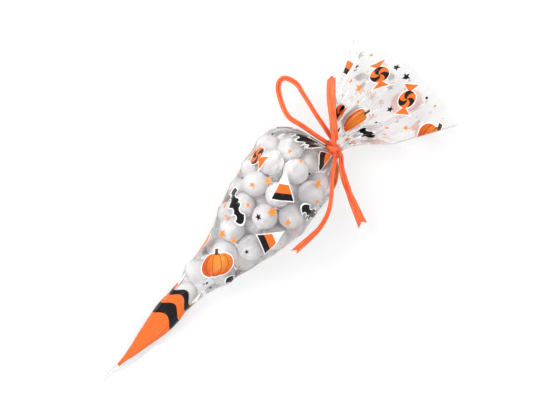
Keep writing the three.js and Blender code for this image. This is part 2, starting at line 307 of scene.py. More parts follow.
# %% Ribbon routes, in millimetres from the knot's middle
TIE_FROM_TIP = 224.0
REST_FROM_TIP = 165.0
REST_SHIFT = 4.6
KNOT = Vector((TIE_FROM_TIP - REST_FROM_TIP, -REST_SHIFT, 29.2))
ROUTES = {
    "ribbon_loop_left": [
        (-0.4, 5.4, 1.6), (-2.2, 13, 6), (-4.6, 26, 6.5), (-6.6, 36, 5), (-3.6, 46, 3), (3, 56, 1.5),
        (9.5, 57, 1), (12.6, 49, 2), (10.6, 39, 4), (7.6, 26, 4.5), (5.4, 14, 2.6), (3.6, 4.9, -1.4)],
    "ribbon_loop_mouth": [
        (1.2, 1.6, 4.6), (9.5, 11, 10), (17, 20, 12), (24, 28, 12), (29.8, 33.2, 10.4),
        (30.4, 33.4, 7.4), (26, 29, 6.4), (18, 20.6, 6.6), (11, 11.4, 6), (4.9, 3.4, 2.6)],
    "ribbon_tail_long": [
        (-2.4, -3.8, 3.4), (-7, -6.6, 12.4), (-14, -11.4, 17), (-23.5, -20.2, 15.6), (-33, -27, 9.4),
        (-43.5, -30.4, 4), (-52, -30.6, 2.6), (-59, -30.2, 2), (-66.5, -29.8, 1.6)],
    "ribbon_tail_short": [
        (0.2, -6.3, 0), (-6.6, -14, 1), (-13, -26.5, -2), (-17, -36.5, -7), (-21.7, -49, -13)],
}
# The strip's width at the knot, in the middle and at the far end, and what that end is
RUNS = {
    "ribbon_loop_left": ((2.8, 3.6, 2.8), "object"),
    "ribbon_loop_mouth": ((3.4, 6.0, 3.4), "object"),
    "ribbon_tail_long": ((2.6, 2.8, 4.4), "bare"),
    "ribbon_tail_short": ((2.8, 4.6, 6.8), "bare"),
}
RUN_POINTS = 90
STRIP_FACES = 20
STRIP_THICKNESS = 0.25
UV_HALF_WIDTH = 0.35
UV_PER_METRE = 100
END_SLANT = 0.7
END_NOTCH = 3.2


def smooth_route(points, count):
    """Even points on a curve through the route, and the curve's length, in metres."""
    knots = np.array([[KNOT.x + a, KNOT.y + b, KNOT.z + c] for a, b, c in points]) * MM
    padded = np.vstack([2 * knots[0] - knots[1], knots, 2 * knots[-1] - knots[-2]])
    fine = []
    for i in range(len(knots) - 1):
        p0, p1, p2, p3 = padded[i:i + 4]
        for t in np.linspace(0, 1, 24, endpoint=False):
            bend = (2 * p0 - 5 * p1 + 4 * p2 - p3) * t ** 2
            twist = (3 * p1 - p0 - 3 * p2 + p3) * t ** 3
            fine.append(0.5 * (2 * p1 + (p2 - p0) * t + bend + twist))
    fine.append(knots[-1])
    fine = np.array(fine)
    run = np.concatenate([[0], np.cumsum(np.linalg.norm(np.diff(fine, axis=0), axis=1))])
    even = np.linspace(0, run[-1], count)
    return np.stack([np.interp(even, run, fine[:, k]) for k in range(3)], axis=1), float(run[-1])


print("free runs:", len(ROUTES))

# %% The strip's own shape along a run, where side goes from -1 to 1 and run from 0 to 1
def strip_direction(tangent, run, phases):
    """The strip's sideways direction, which twists a little along the run."""
    flat = tangent.cross(Vector((0, 0, 1))).normalized()
    turn = 0.35 * math.sin(run * 5 + phases[0]) + 0.2 * math.sin(run * 11 + phases[1])
    return (Matrix.Rotation(turn, 3, tangent) @ flat).normalized()


def strip_width(run, widths):
    at_knot, in_middle, at_end = widths
    opening = math.sin(min(run * 2, 1) * math.pi / 2)
    closing = max(0, run * 2 - 1) ** 1.3
    return (at_knot + (in_middle - at_knot) * opening + (at_end - in_middle) * closing) * MM


def strip_lift(side, run, phases, far_end):
    """How far the folds lift the strip off its middle line."""
    bunch = 0.35 + 0.65 * math.exp(-run * 14)
    if far_end == "object":
        bunch += 0.65 * math.exp(-(1 - run) * 14)
    fold = 0.55 * math.sin(side * 5.5 + phases[2] + run * 2)
    fold += 0.3 * math.sin(side * 11 + phases[3] - run * 3)
    fold += 0.25 * math.sin(side * 3 + phases[4] + run * 7)
    valley = math.exp(-((side - 0.25 * math.sin(run * 6 + phases[5])) * 7) ** 2)
    arch = 0.6 * (1 - side * side) - 0.7 * valley
    return (fold * bunch + arch) * MM


def cut_reach(side, run, far_end):
    """How far a slanted, notched cut carries the end past its middle."""
    if far_end == "object":
        return 0.0
    cut = END_SLANT * side + END_NOTCH * (abs(side) - 0.5)
    return cut * max(0, run * 4 - 3) * MM


print("widest far end mm", round(max(strip_width(1.0, widths) for widths, _ in RUNS.values()) / MM, 1))

# %% The four free runs
def add_run(name, seed):
    widths, far_end = RUNS[name]
    path, length = smooth_route(ROUTES[name], RUN_POINTS)
    tangents = np.gradient(path, axis=0)
    tangents /= np.linalg.norm(tangents, axis=1)[:, None]
    phases = np.random.default_rng(seed).uniform(0, 6.28, 6)

    def maker(shape):
        strip = shape.loops.layers.uv.new("strip")
        made = bmesh.ops.create_grid(shape, x_segments=STRIP_FACES, y_segments=RUN_POINTS - 1, size=1.0)
        places = {}
        for vert in made["verts"]:
            side, run = vert.co.x, (vert.co.y + 1) / 2
            places[vert] = (side, run)
            at = run * (RUN_POINTS - 1)
            low = min(int(at), RUN_POINTS - 2)
            point = Vector(path[low] + (path[low + 1] - path[low]) * (at - low))
            tangent = Vector(tangents[low]).normalized()
            flat = strip_direction(tangent, run, phases)
            over = flat.cross(tangent).normalized()
            sideways = side * strip_width(run, widths) / 2
            lift = strip_lift(side, run, phases, far_end)
            vert.co = point + flat * sideways + over * lift + tangent * cut_reach(side, run, far_end)
        for face in shape.faces:
            for loop in face.loops:
                side, run = places[loop.vert]
                loop[strip].uv = (side * UV_HALF_WIDTH, run * length * UV_PER_METRE)

    piece = add_piece(name + "_strip", maker, [RAFFIA], name)
    wall = piece.modifiers.new("thickness", "SOLIDIFY")
    wall.thickness = STRIP_THICKNESS * MM
    wall.offset = 0.0
    print(name, "length mm", round(length * 1000, 1))


for number, name in enumerate(ROUTES):
    add_run(name, 11 + number)

# %% [markdown]
# ## The sweets
#
# Each sweet is a pressed ball with a dry sugar shell, so it is nearly round, a little dimpled, and
# matt. The balls could share one mesh, but then they would share their dents. So a fine sphere stands
# for each plain ball solid, at that ball's own place and size, and is pressed in at a few random spots.


# %% Sugar shell material
def sweet_material():
    material = new_material("sugar_shell")
    place = Val.node("ShaderNodeTexCoord").output("Object")
    cloud = Val.node("ShaderNodeTexNoise", Vector=place, Scale=140.0, Detail=3.0)
    grain = Val.node("ShaderNodeTexNoise", Vector=place, Scale=1500.0, Detail=2.0)
    colour = mix_colour(((cloud - 0.35) * 2.2).clamped(), srgb(228, 224, 225), srgb(250, 248, 248))
    relief = Val.node("ShaderNodeBump", Strength=0.25, Distance=0.0004, Height=cloud + grain * 0.2)
    return finish_material(material, principled(colour, 0.5 + cloud * 0.15, relief))


SUGAR = sweet_material()
SWEETS = sorted(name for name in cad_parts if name.startswith("sweet_"))
print("sweets:", len(SWEETS))

# %% Sweets
DENTS = 5
SHELL_SHARE = 0.995


def sweet_place(node):
    """The middle and the radius of a sweet's solid."""
    low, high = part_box(node)
    return (low + high) / 2, max(high - low) / 2


SWEET_RADIUS = max(sweet_place(node)[1] for node in SWEETS)
CENTRES = np.array([sweet_place(node)[0] for node in SWEETS])


def add_sweet(node, seed):
    rng = np.random.default_rng(seed)
    dents = [(Vector(rng.normal(size=3)).normalized(), rng.uniform(0.1, 0.35)) for _ in range(DENTS)]
    centre = Vector(CENTRES[seed])

    def maker(shape):
        bmesh.ops.create_icosphere(shape, subdivisions=4, radius=SWEET_RADIUS * SHELL_SHARE)
        for vert in shape.verts:
            outward = vert.co.normalized()
            press = sum(deep * max(0.0, outward.dot(spot) - 0.8) ** 2 for spot, deep in dents)
            vert.co -= outward * press * 6 * MM
            vert.co += centre

    add_piece(node + "_shell", maker, [SUGAR], node)


for number, node in enumerate(SWEETS):
    add_sweet(node, number)
print("sweet radius mm", round(SWEET_RADIUS / MM, 2))

# %% [markdown]
# ## The shape of the film
#
# The bag is a flat cone sheet, rolled into a point, swelled by its load, gathered at the tie and
# fanned out past it. A cloth simulation could find this form, but it would drift from the solid and
# take minutes. So the solid's own curves are used again: one grid is wrapped round them, with its edge
# on the right-hand seal, and the sheet keeps its own flat coordinates for the print.

# %% Body and mouth curves, in millimetres
BAG_LENGTH = 302.0
SEAL_WIDTH = 4.5
SEAL_TAPER = 0.29
SQUEEZED_SEAL = 0.22
SECTION_ROUNDNESS = 2.2
PLEAT_COUNT = 12
PLEAT_UNEVENNESS = 0.25
BELLY_FROM_TIP = 191.0
BELLY_WIDTH = 65.5
BELLY_HEIGHT = 58.0
BELLY_SHIFT = 8.3
UNDER_SAG = 1.8
TIE_WIDTH = 4.0
NECK_DIAMETER = 9.4
NECK_PLEAT = 0.8
NECK_HEIGHT = 21.0
MOUTH_WIDTH = 95.0
MOUTH_THICKNESS = 21.0
MOUTH_PLEAT = 4.8
MOUTH_HEIGHT = 15.5
MOUTH_SPREAD = 0.85
EAR_LEFT = 16.0
EAR_RIGHT = 7.0

NECK_START = TIE_FROM_TIP - TIE_WIDTH / 2
NECK_END = TIE_FROM_TIP + TIE_WIDTH / 2
NECK_UNDER = NECK_HEIGHT - NECK_DIAMETER / 2 + NECK_PLEAT
NECK_BASE = NECK_DIAMETER - 2 * NECK_PLEAT

# Place from the tip, width, height, underside, shift to the left, pleat depth and curl of the seal
BODY_ROWS = np.array([
    (0, 2.2, 0.8, 0.5, 0, 0, 0),
    (18, 2.6, 1.8, 0.2, -0.6, 0, 0),
    (30, 6.6, 5, 0, -0.9, 0, 0.2),
    (45, 13, 9, -0.3, -0.4, 0, 0.8),
    (60, 18, 13.5, -0.7, 0.2, 0, 1.1),
    (78, 20.5, 19, -1, 1.8, 0, 1.1),
    (96, 27, 25, -1.3, 1.8, 0, 1.1),
    (124, 40, 38, -1.5, 1.8, 0, 1.1),
    (151, 57, 49, -UNDER_SAG, 3.2, 0, 1.1),
    (172, 63, BELLY_HEIGHT - 2.5, -UNDER_SAG, 5.4, 0, 1.1),
    (BELLY_FROM_TIP, BELLY_WIDTH, BELLY_HEIGHT, -UNDER_SAG, BELLY_SHIFT, 0.2, 1.1),
    (202, BELLY_WIDTH - 2, BELLY_HEIGHT - 2, -UNDER_SAG / 2, 9.9, 0.6, 1),
    (210, BELLY_WIDTH * 0.84, BELLY_HEIGHT * 0.82, 1.5, 9.6, 1, 0.8),
    (216, BELLY_WIDTH * 0.6, BELLY_HEIGHT * 0.58, 6, 7.6, 1.1, 0.5),
    (NECK_START - 1.4, NECK_BASE + 9, NECK_BASE + 8, NECK_UNDER - 4, 2.2, 0.9, 0.3),
    (NECK_START, NECK_BASE, NECK_BASE, NECK_UNDER, 0, NECK_PLEAT, 0.2),
], float)
# Share of the way from the tie to the rim, width, thickness, middle height, shift and pleat depth
MOUTH_ROWS = np.array([
    (0, NECK_BASE, NECK_BASE, NECK_HEIGHT, 0, NECK_PLEAT),
    (0.1, NECK_BASE + 9, NECK_BASE + 2.5, NECK_HEIGHT, 3.2, 1.5),
    (0.27, MOUTH_WIDTH * 0.37, MOUTH_THICKNESS * 0.75, NECK_HEIGHT - 0.6, 3.8, 3),
    (0.41, MOUTH_WIDTH * 0.51, MOUTH_THICKNESS * 0.88, NECK_HEIGHT - 1.8, 1.6, 3.9),
    (0.6, MOUTH_WIDTH * 0.63, MOUTH_THICKNESS * 0.95, NECK_HEIGHT - 3.4, 0.4, 4.5),
    (1, MOUTH_WIDTH - 2 * SEAL_WIDTH, MOUTH_THICKNESS, MOUTH_HEIGHT, -1, MOUTH_PLEAT),
], float)


def smoothstep(x, low, high):
    k = np.clip((x - low) / (high - low), 0, 1)
    return k * k * (3 - 2 * k)


def profile(rows, places):
    """Smooth values at each place, one column for each value of the rows."""
    x, y = rows[:, 0], rows[:, 1:]
    slopes = np.empty_like(y)
    slopes[1:-1] = (y[2:] - y[:-2]) / (x[2:] - x[:-2])[:, None]
    slopes[0] = (y[1] - y[0]) / (x[1] - x[0])
    slopes[-1] = (y[-1] - y[-2]) / (x[-1] - x[-2])
    row = np.clip(np.searchsorted(x, places, side="right") - 1, 0, len(x) - 2)
    span = (x[row + 1] - x[row])[:, None]
    k = np.clip((places - x[row])[:, None] / span, 0, 1)
    straight = y[row] + (y[row + 1] - y[row]) * k * k * (3 - 2 * k)
    return straight + k * (1 - k) * span * ((1 - k) * slopes[row] - k * slopes[row + 1])


print("belly width mm", profile(BODY_ROWS, np.array([BELLY_FROM_TIP]))[0, 0])

# %% The wrapped grid before the film is drawn in
AROUND = 240
BODY_STEPS = 150
MOUTH_STEPS = 50
FIRST_STATION = 1.5
stations = np.concatenate([np.linspace(FIRST_STATION, NECK_START, BODY_STEPS),
                           np.full(MOUTH_STEPS, NECK_END)])
shares = np.concatenate([np.zeros(BODY_STEPS), np.linspace(0, 1, MOUTH_STEPS)])
angles = np.linspace(0, 2 * math.pi, AROUND + 1)
in_body = np.arange(len(stations)) < BODY_STEPS


def section(angle, width, height, middle, shift, spread):
    """A rounded section's sideways place, height and share across, at each angle."""
    around = -np.cos(angle)
    even = 1 - 2 * np.abs(np.mod(angle / math.pi, 2) - 1)
    across = around * (1 - spread) + even * spread
    rise = np.sqrt(np.maximum(0, 1 - np.abs(across) ** SECTION_ROUNDNESS))
    rise = rise * np.sign(np.sin(angle) + 1e-12)
    return shift + width / 2 * across, middle + height / 2 * rise, across


def pleat_waves(angle, opened):
    """Small even gathers at the neck, which give way to a few broad panels toward the rim."""
    uneven = 1 + PLEAT_UNEVENNESS * np.sin(angle * 3 + 1)
    gathers = uneven * np.sin(angle * PLEAT_COUNT + 0.8 * np.sin(angle * 2 + 1) * opened)
    gathers += 0.22 * np.sin(angle * 31 + 2 * np.sin(angle * 2)) + 0.12 * np.sin(angle * 53 + 1.3)
    panels = 0.5 * np.sin(angle * 4 + 0.6) + 0.3 * np.sin(angle * 7 + 2.2)
    return (1 - 0.75 * opened) * gathers + opened * panels


def film_grid():
    """The film's points, row by row from the tip and round each row from the right-hand seal."""
    body = profile(BODY_ROWS, stations)
    body[:, 2] += body[:, 1] / 2
    rows = np.where(in_body[:, None], body[:, :5], profile(MOUTH_ROWS, shares))
    width, height, middle, shift, pleat = (rows[:, k:k + 1] for k in range(5))
    spread = smoothstep(shares, 0, 0.4)[:, None] * MOUTH_SPREAD
    opened = smoothstep(shares, 0.05, 0.6)[:, None]
    angle = np.broadcast_to(angles[None, :], (len(stations), AROUND + 1))
    wide, high, across = section(angle, width, height, middle, shift, spread)
    ahead = section(angle + 0.02, width, height, middle, shift, spread)
    behind = section(angle - 0.02, width, height, middle, shift, spread)
    step_y, step_z = ahead[0] - behind[0], ahead[1] - behind[1]
    depth = pleat * pleat_waves(angle, opened) / (np.hypot(step_y, step_z) + 1e-9)
    ear = np.where(across > 0, EAR_LEFT, EAR_RIGHT)
    reach = (BAG_LENGTH - NECK_END) - ear * across ** 2
    x = stations[:, None] + shares[:, None] * reach
    return np.stack([x, wide - step_z * depth, high + step_y * depth], axis=2)


def grid_normals(points):
    along = np.gradient(points, axis=0)
    ahead, behind = np.roll(points[:, :-1], -1, axis=1), np.roll(points[:, :-1], 1, axis=1)
    around = ahead - behind
    around = np.concatenate([around, around[:, :1]], axis=1)
    normal = np.cross(along, around)
    return normal / (np.linalg.norm(normal, axis=2, keepdims=True) + 1e-12)


smooth_film = film_grid()
normals = grid_normals(smooth_film)
print("film grid", smooth_film.shape, "normal on top:", normals[100, AROUND // 4].round(2))

# %% [markdown]
# ## Drawing the film in over the sweets
#
# Film that is pulled tight touches the sweets at their outer sides and spans from one to the next.
# A shrinkwrap would press it into every gap. So each point of the film may sink as far as the nearest
# sweet lets it, and the depths are then relaxed toward their neighbours' mean, as in a stretched skin,
# many times over.

# %% Drape, in millimetres
MOST_SINK = 2.8
MOST_LIFT = 1.5
NO_SWEET = 50.0
FILM_CLEARANCE = 0.35
DRAPE_ROUNDS = 60
FILL_BEGINS = (66, 84)
FILL_ENDS = (206, 218)


def sink_limits(points, outward):
    """How far each point can sink before it meets a sweet. It's less than 0 where it has to lift."""
    centres = CENTRES / MM + np.array([REST_FROM_TIP, REST_SHIFT, 0])
    reach = SWEET_RADIUS / MM + FILM_CLEARANCE
    limit = np.full(points.shape[:2], NO_SWEET)
    for centre in centres:
        to_centre = centre - points
        along = -(to_centre * outward).sum(axis=2)
        off2 = (to_centre ** 2).sum(axis=2) - along ** 2
        hit = along - np.sqrt(np.maximum(reach ** 2 - off2, 0))
        meets = (off2 < reach ** 2) & (along > -2)
        limit = np.where(meets, np.minimum(limit, np.maximum(hit, -MOST_LIFT)), limit)
    return limit


def relaxed_sink(limit, weight):
    """Evens the depths out as a stretched skin does, never past their limits."""
    limit = np.minimum(limit, MOST_SINK * weight)
    relaxed = limit.copy()
    for _ in range(DRAPE_ROUNDS):
        ring = relaxed[:, :-1]
        sides = (np.roll(ring, 1, axis=1) + np.roll(ring, -1, axis=1)) / 2
        ends = np.vstack([ring[:1], (ring[:-2] + ring[2:]) / 2, ring[-1:]])
        ring = np.minimum(limit[:, :-1], 0.5 * sides + 0.5 * ends)
        relaxed = np.concatenate([ring, ring[:, :1]], axis=1)
    return relaxed


filled = smoothstep(stations, *FILL_BEGINS) * (1 - smoothstep(stations, *FILL_ENDS)) * in_body
filled = filled[:, None]
sweet_limit = sink_limits(smooth_film, normals)
sink = relaxed_sink(sweet_limit, filled)
print("deepest sink mm", round(float(sink.max()), 2))

# %% [markdown]
# ## Creases
#
# Thin film doesn't stretch, so what is slack folds into creases: long ones down the bag, slanting
# ones between the sweets, and fine crackle. A bump map would shade them, but clear film shows its
# folds by its outline and its glints. So the mesh itself is creased by smooth random fields, folded at
# their middle to make sharp ridges, which fade where the film is pressed on a sweet.


# %% Crease fields
def random_field(rng, rows, columns):
    """A smooth field between 0 and 1 that closes round the bag."""
    lattice = rng.uniform(0, 1, (rows + 2, columns))
    v = np.linspace(0, rows, len(stations))
    u = np.linspace(0, columns, AROUND + 1)
    v0, u0 = np.floor(v).astype(int), np.floor(u).astype(int)
    fv, fu = (v - v0)[:, None], (u - u0)[None, :]
    fv, fu = fv * fv * (3 - 2 * fv), fu * fu * (3 - 2 * fu)

    def corner(down, aside):
        return lattice[np.minimum(v0 + down, rows + 1)][:, (u0 + aside) % columns]

    near_row = corner(0, 0) * (1 - fu) + corner(0, 1) * fu
    next_row = corner(1, 0) * (1 - fu) + corner(1, 1) * fu
    return near_row * (1 - fv) + next_row * fv


def ridges(field):
    return 1 - 4 * np.abs(field - 0.5)


def slanted(field, slope):
    """Shears a field round the bag as it goes along it."""
    columns = np.arange(AROUND)
    sheared = np.empty_like(field)
    for row in range(len(stations)):
        sheared[row, :-1] = np.take(field[row, :-1], (columns + int(row * slope)) % AROUND)
        sheared[row, -1] = sheared[row, 0]
    return sheared


crease_rng = np.random.default_rng(5)
long_creases = ridges(random_field(crease_rng, 12, 34))
short_creases = ridges(random_field(crease_rng, 34, 44))
left_creases = ridges(slanted(random_field(crease_rng, 22, 40), 0.5))
right_creases = ridges(slanted(random_field(crease_rng, 22, 40), -0.6))
crackle = random_field(crease_rng, 90, 110)
print("long creases from", round(float(long_creases.min()), 2), "to", round(float(long_creases.max()), 2))

# %% The creased film
CREASE_DEPTH = 0.5
LEAST_HEIGHT = 0.15

pressed = np.clip(1 - (MOST_SINK * filled - sink) / MOST_SINK, 0, 1) * filled
past_tip = 0.25 + 0.75 * smoothstep(stations, 20, 90)[:, None]
calm_mouth = (1 - 0.6 * smoothstep(shares, 0.0, 0.2))[:, None]
calm_neck = 1 - 0.8 * smoothstep(stations, 208, 221)[:, None] * in_body[:, None]
creases = 0.5 * long_creases + 0.3 * short_creases + 0.35 * (left_creases + right_creases) + 0.08 * crackle
creases = creases * (1 - 0.65 * pressed) * past_tip * calm_mouth * calm_neck
creases[BODY_STEPS - 6:BODY_STEPS + 4] *= 0.2
depth = np.minimum(sink + creases * CREASE_DEPTH, sweet_limit)
creased_film = smooth_film - normals * depth[:, :, None]
creased_film[:, :, 2] = np.maximum(creased_film[:, :, 2], LEAST_HEIGHT)
creased_film[:, -1] = creased_film[:, 0]
print("crease depth mm", round(float(creases.max()) * CREASE_DEPTH, 2))

# %% [markdown]
# ## The print's cells and outlines
#
# The bag is printed flat before it is sealed, so the print lives in flat-sheet coordinates: across the
# panel and along from the tip. An image could carry it, but an image blurs close up. Here each motif is
# a distance to an outline, so one number gives its ink, its white edge and its shading at any scale.
# The sheet is divided in staggered cells, and each cell has random numbers of its own.

# %% Inks and sizes of the print, in millimetres
ORANGE = srgb(224, 108, 36)
DEEP_ORANGE = srgb(198, 76, 18)
AMBER = srgb(230, 138, 50)
FIELD_ORANGE = srgb(226, 104, 42)
BLACK = srgb(14, 10, 12)
WHITE = srgb(246, 243, 243)
GREY = srgb(196, 190, 196)
STEM = srgb(70, 60, 30)
INK_BACKING = srgb(252, 246, 244)
FLAT_TAPER = 0.52
BACK_PANEL = 400.0
LARGE_CELL = 33.0
SMALL_CELL = 11.5
WHITE_RIM = 0.6
PRINT_START = 16.0
PRINT_END = BAG_LENGTH - 6.0
PRINT_MARGIN = 1.4
TIP_FIELD_END = 58.0
TIP_STRIPE = 8.4
print("flat width at the mouth mm", round(FLAT_TAPER * BAG_LENGTH, 1))


# %% Cells and outlines
def cell_of(x, y, pitch, seed):
    """The place in a staggered cell, and that cell's three random numbers."""
    row = (y / pitch).floor()
    shifted = x / pitch + row * 0.5
    column = shifted.floor()
    local_x = (shifted - column - 0.5) * pitch
    local_y = (y / pitch - row - 0.5) * pitch
    key = Val.node("ShaderNodeCombineXYZ", i0=column + seed, i1=row + seed * 0.37, i2=0.0)
    noise = Val.node("ShaderNodeTexWhiteNoise", {"noise_dimensions": "2D"}, out=1, Vector=key)
    parts = Val.node("ShaderNodeSeparateColor", i0=noise)
    return local_x, local_y, parts, parts.output(1), parts.output(2)


def turned_place(x, y, angle):
    cosine, sine = Val.maths("COSINE", angle), Val.maths("SINE", angle)
    return x * cosine - y * sine, x * sine + y * cosine


def disc(x, y, radius, cx=0.0, cy=0.0):
    return ((x - cx) ** 2.0 + (y - cy) ** 2.0) ** 0.5 - radius


def oval(x, y, a, b, cx=0.0):
    return ((((x - cx) / a) ** 2.0 + (y / b) ** 2.0) ** 0.5 - 1.0) * min(a, b)


def star(x, y, dip=0.45):
    """Distance to a five-pointed star of radius 1, folded to half of one point."""
    half_point = math.pi / 5
    folded = Val.maths("PINGPONG", Val.maths("ARCTAN2", x, y) + math.pi, half_point)
    out = (x * x + y * y) ** 0.5
    px = out * Val.maths("COSINE", folded)
    py = out * Val.maths("SINE", folded)
    dip_x, dip_y = dip * math.cos(half_point), dip * math.sin(half_point)
    side = math.hypot(dip_x - 1.0, dip_y)
    return ((px - 1.0) * dip_y - py * (dip_x - 1.0)) * (1.0 / side)


def inside(distance, edge=0.12):
    """1 inside an outline and 0 outside, with a soft printed edge."""
    return (0.5 - distance * (0.5 / edge)).clamped()


print("a cell holds one motif; cells across the mouth:", round(FLAT_TAPER * BAG_LENGTH / LARGE_CELL, 1))

# %% [markdown]
# ## The motifs
#
# The real print is a seasonal pattern of orange, black and white. These are plain motifs of that kind
# and scale: a ribbed pumpkin, a bat, a three-coloured corn sweet, a moon and a wrapped sweet. Each
# function gives the distance to its outline and the ink inside it.


# %% Motifs
def pumpkin_rib(x, y, at, half_height):
    bulge = (1.0 - ((y / half_height) ** 2.0) * 0.85).most(0.05) ** 0.5
    return inside(abs(abs(x) - bulge * at) - 0.22)


def pumpkin(x, y):
    body = oval(x, y, 7.0, 9.4).least(oval(abs(x), y, 7.2, 8.8, 4.6))
    stem = (abs(x - y * 0.12 + 1.0) - 1.3).most(abs(y - 10.0) - 2.2)
    ribs = pumpkin_rib(x, y, 3.4, 9.6).most(pumpkin_rib(x, y, 8.2, 9.6))
    shade = (disc(x, y, 3.0, -2.5, 3.0) * 0.1).clamped()
    ink = mix_colour(shade, AMBER, DEEP_ORANGE)
    ink = mix_colour(ribs * 0.7, ink, BLACK)
    return body.least(stem), mix_colour(inside(stem), ink, STEM)


def bat(x, y):
    side = abs(x)
    wing = oval(side, y - 0.6, 8.6, 4.2, 5.2)
    for cx, cy, radius in ((3.6, -3.6, 2.7), (8.2, -3.2, 2.4), (5.6, 5.6, 3.2)):
        wing = wing.most(-disc(side, y, radius, cx, cy))
    ears = ((abs(side - 1.1) * 1.6 + (y - 5.2)) * 0.5).most(2.0 - y)
    return wing.least(oval(x, y, 2.0, 3.8)).least(ears), BLACK


def corn(x, y):
    slope = 0.46
    sides = (abs(x) + (y - 7.8) * slope) * (1 / math.hypot(1.0, slope))
    ink = mix_colour(inside(-(y - 3.2)), BLACK, WHITE)
    ink = mix_colour(inside(y - 3.2), ink, ORANGE)
    ink = mix_colour(inside(y + 2.2), ink, BLACK)
    return sides.most(-(y + 5.2)) - 1.2, ink


def moon(x, y):
    shadow = (disc(x, y, 9.2, -3.0, 3.0) * 0.3).clamped()
    ink = mix_colour(shadow, WHITE, GREY)
    for cx, cy, radius in ((-2.5, 3.0, 1.9), (3.2, -1.0, 1.4), (-1.5, -4.2, 1.1), (4.2, 4.4, 0.9)):
        ink = mix_colour(inside(disc(x, y, radius, cx, cy)) * 0.45, ink, GREY)
    return disc(x, y, 9.6), ink


def wrapped_sweet(x, y):
    ends = (abs(y) - (abs(x) - 5.2) * 0.9).most(abs(x) - 11.5).most(5.2 - abs(x))
    ball = disc(x, y, 6.6)
    swirl = Val.maths("ARCTAN2", x, y) * 3.0 + ((x * x + y * y) ** 0.5) * 0.55
    stripes = inside(-Val.maths("SINE", swirl) * 1.6, 0.3)
    ink = mix_colour(stripes, ORANGE, BLACK)
    return ball.least(ends), mix_colour(inside(-ball), ink, ORANGE)


# The motif that a cell draws is the last one whose share its random number passes
OTHER_MOTIFS = ((0.34, bat), (0.5, corn), (0.66, moon), (0.84, wrapped_sweet))
print("motifs:", 1 + len(OTHER_MOTIFS))

# %% [markdown]
# ## The printed sheet
#
# Large cells draw one motif each, moved and turned by the cell's numbers. Small cells scatter stars and
# dots in what is left free. The tip is a plain orange field that ends in wavy dark stripes. The side
# seals, the rim and the very tip stay clear, as they do on a sheet that is printed before it is sealed.


# %% Printed sheet
def large_motifs(x, y):
    """The distance to the cell's motif, and its ink."""
    local_x, local_y, kind, lean, drift = cell_of(x, y, LARGE_CELL, 3.0)
    moved_x = local_x + (lean - 0.5) * 6.0
    moved_y = local_y + (drift - 0.5) * 6.0
    tx, ty = turned_place(moved_x, moved_y, (lean + drift - 1.0) * 1.1)
    distance, ink = pumpkin(tx, ty)
    for stop, motif in OTHER_MOTIFS:
        chosen = kind > stop
        next_distance, next_ink = motif(tx, ty)
        distance = distance * (1.0 - chosen) + next_distance * chosen
        ink = mix_colour(chosen, ink, next_ink)
    return distance, ink


def small_marks(x, y):
    """The cover of the stars and dots, and their ink."""
    local_x, local_y, kind, size, drift = cell_of(x, y, SMALL_CELL, 17.0)
    moved_x = local_x + (drift - 0.5) * 4.0
    moved_y = local_y + (size - 0.5) * 4.0
    sx, sy = turned_place(moved_x, moved_y, drift * 6.0)
    radius = 1.6 + size * 2.3
    is_star = kind > 0.5
    shape = star(sx / radius, sy / radius) * radius * is_star + disc(sx, sy, 1.0) * (1.0 - is_star)
    dark = ((kind > 0.32) * (kind < 0.5) + (kind > 0.86)).clamped()
    return inside(shape) * (kind > 0.14), mix_colour(dark, AMBER, BLACK)


def tip_field(across, y):
    """The cover of the tip's plain field and stripes, and their ink."""
    past_field = y - TIP_FIELD_END - Val.maths("COSINE", across * 0.24) * 3.0
    stripe = abs(Val.maths("PINGPONG", past_field, TIP_STRIPE) - TIP_STRIPE) - 4.6
    dark = inside(stripe, 0.2) * (past_field > 0.0)
    return inside(past_field - TIP_STRIPE * 3, 0.2), mix_colour(dark, FIELD_ORANGE, BLACK)


def film_print(strength):
    """The ink's cover and colour. Its strength is 1 outside, and less inside where its backing shows."""
    sheet = Val.node("ShaderNodeSeparateXYZ", i0=Val.node("ShaderNodeUVMap", {"uv_map": "sheet"}))
    x, y = sheet * 1000.0, sheet.output(1) * 1000.0
    across = x - (x > BACK_PANEL / 2) * BACK_PANEL
    distance, ink = large_motifs(x, y)
    cover = inside(distance - WHITE_RIM)
    colour = mix_colour(inside(distance), WHITE, ink)
    mark_cover, mark_ink = small_marks(x, y)
    mark_cover = mark_cover * inside(-(distance - WHITE_RIM - 2.6), 0.3)
    tip_cover, tip_ink = tip_field(across, y)
    colour = mix_colour(tip_cover, mix_colour(mark_cover, colour, mark_ink), tip_ink)
    to_seal = y * (FLAT_TAPER / 2) - PRINT_MARGIN - abs(across)
    printed = inside(-to_seal, 0.15) * inside(y - PRINT_END, 0.2) * inside(PRINT_START - y, 0.2)
    if strength < 1:
        colour = mix_colour(strength, INK_BACKING, colour)
    return cover.most(mark_cover).most(tip_cover) * printed, colour


print("print ends mm from the tip:", PRINT_START, PRINT_END)

# %% [markdown]
# ## The film's finish
#
# Cone bags are made of clear glossy film. A glass shader would bend light through a wall that is too
# thin to bend any, and would darken with each layer. So the clear part lets light straight through,
# with a little haze and a mirror that grows toward the edges, and the ink lies over it where the print
# covers.

# %% Film materials
HAZE = 0.06
CLARITY = 0.988
INSIDE_STRENGTH = 0.42


